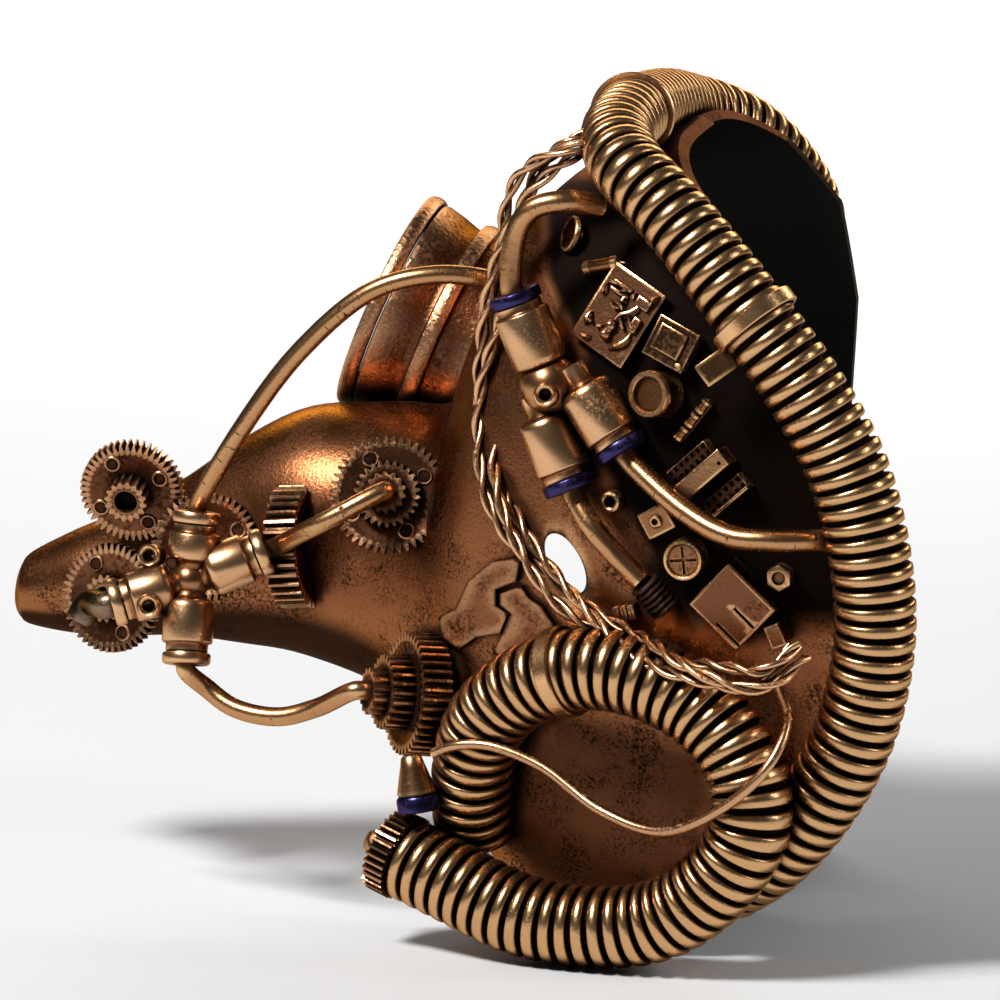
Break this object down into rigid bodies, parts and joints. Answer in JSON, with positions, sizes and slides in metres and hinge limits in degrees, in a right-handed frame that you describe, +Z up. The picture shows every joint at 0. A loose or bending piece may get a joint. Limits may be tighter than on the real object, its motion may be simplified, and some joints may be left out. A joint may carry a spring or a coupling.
{
  "type": "steampunk theatre mask",
  "caption": "Hollow long-nosed theatre mask in aged copper paint, dressed on one side with ribbed hoses, pipe unions, gear wheels, a goggle and old electronic parts.",
  "frame": {"origin": "on the floor that the mask stands on, under the middle of its whole box", "axes": "+Z up, the nose points along -X, and +Y runs from the dressed side to the goggle side"},
  "size_m": [0.2512, 0.1888, 0.2174],
  "materials": {
    "painted_shell": "satin copper paint over black, black inside",
    "ribbed_hose": "gilt copper paint rubbed over black",
    "worn_copper": "worn copper paint over moulded plastic",
    "copper_wire": "tarnished copper",
    "gilt_fitting": "gilt copper paint",
    "gilt_pipe": "gilt copper paint with fine cracks",
    "blue_collar": "dark blue plastic showing through the paint",
    "gilt_parts": "copper paint over electronic parts",
    "dark_parts": "dark paint with copper rubs"
  },
  "bodies": {
    "root": {"face_shell": "painted_shell", "rim_hose": "ribbed_hose", "loop_hose": "ribbed_hose", "rim_band": "gilt_fitting", "rim_band_head": "gilt_fitting", "brow_tie": "copper_wire", "loop_band": "gilt_fitting", "goggle_cup": "worn_copper", "goggle_ring": "worn_copper", "cross_union_collar_top": "blue_collar", "cross_union_collar_right": "blue_collar", "cross_union_collar_left": "blue_collar", "cross_union_collar_bottom": "blue_collar", "cross_union": "gilt_fitting", "y_union_collar_upper": "blue_collar", "y_union_collar_right": "blue_collar", "y_union_collar_lower": "blue_collar", "y_union": "gilt_fitting", "bridge_gear": "worn_copper", "nose_gear_upper": "worn_copper", "nose_gear_lower": "worn_copper", "nose_gear_rear": "worn_copper", "spur_gear": "worn_copper", "chin_gear": "worn_copper", "brow_pipe": "gilt_pipe", "gear_pipe": "gilt_pipe", "chin_pipe": "gilt_pipe", "temple_pipe": "gilt_pipe", "ear_pipe": "gilt_pipe", "cheek_pipe": "gilt_pipe", "cheek_pipe_wrap": "dark_parts", "loop_pipe": "copper_wire", "wire_bundle": "copper_wire", "hose_cap_gear": "worn_copper", "cone_collar": "blue_collar", "cone_fitting": "gilt_fitting", "patch_plate_front": "painted_shell", "patch_plate_rear": "painted_shell", "temple_disc": "dark_parts", "temple_cylinder": "gilt_parts", "circuit_board": "dark_parts", "relay_plate": "dark_parts", "round_can": "gilt_parts", "resistor_chain": "gilt_parts", "flat_block_upper": "gilt_parts", "flat_block_lower": "gilt_parts", "small_ring": "gilt_parts", "small_plate": "gilt_parts", "screw_cap": "gilt_parts", "hex_nut": "gilt_parts", "slotted_box": "gilt_parts", "box_clip": "gilt_parts", "gold_block": "gilt_parts"}
  },
  "joints": []
}
